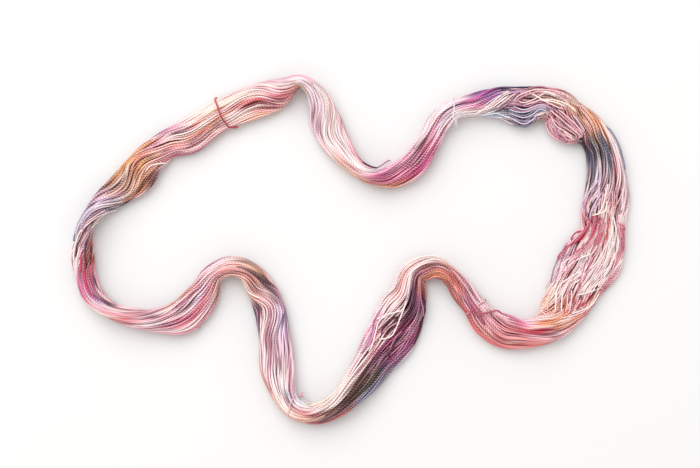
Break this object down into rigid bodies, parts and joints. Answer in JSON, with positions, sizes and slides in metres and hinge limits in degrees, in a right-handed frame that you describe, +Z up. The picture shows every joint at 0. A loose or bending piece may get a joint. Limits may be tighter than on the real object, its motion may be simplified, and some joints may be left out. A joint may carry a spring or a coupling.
{
  "type": "skein of yarn",
  "caption": "Open skein of variegated hand-dyed yarn, lying flat in a wavy closed loop and held by short thread ties.",
  "frame": {"origin": "under the middle of the skein's box, on the surface that it lies on", "axes": "+X along the longer way across the loop, +Y towards the picture's upper edge, +Z up"},
  "size_m": [0.559, 0.3498, 0.0312],
  "materials": {
    "yarn": "soft plied yarn, hand-dyed in pinks, plum, cream and gold",
    "tie_pink": "twisted thread",
    "tie_rose": "twisted thread",
    "tie_pale": "twisted thread"
  },
  "bodies": {
    "root": {"skein": "yarn", "tie_upper_left": "tie_pink", "tie_upper_middle": "tie_pale", "tie_right": "tie_rose", "tie_bottom": "tie_rose"}
  },
  "joints": []
}
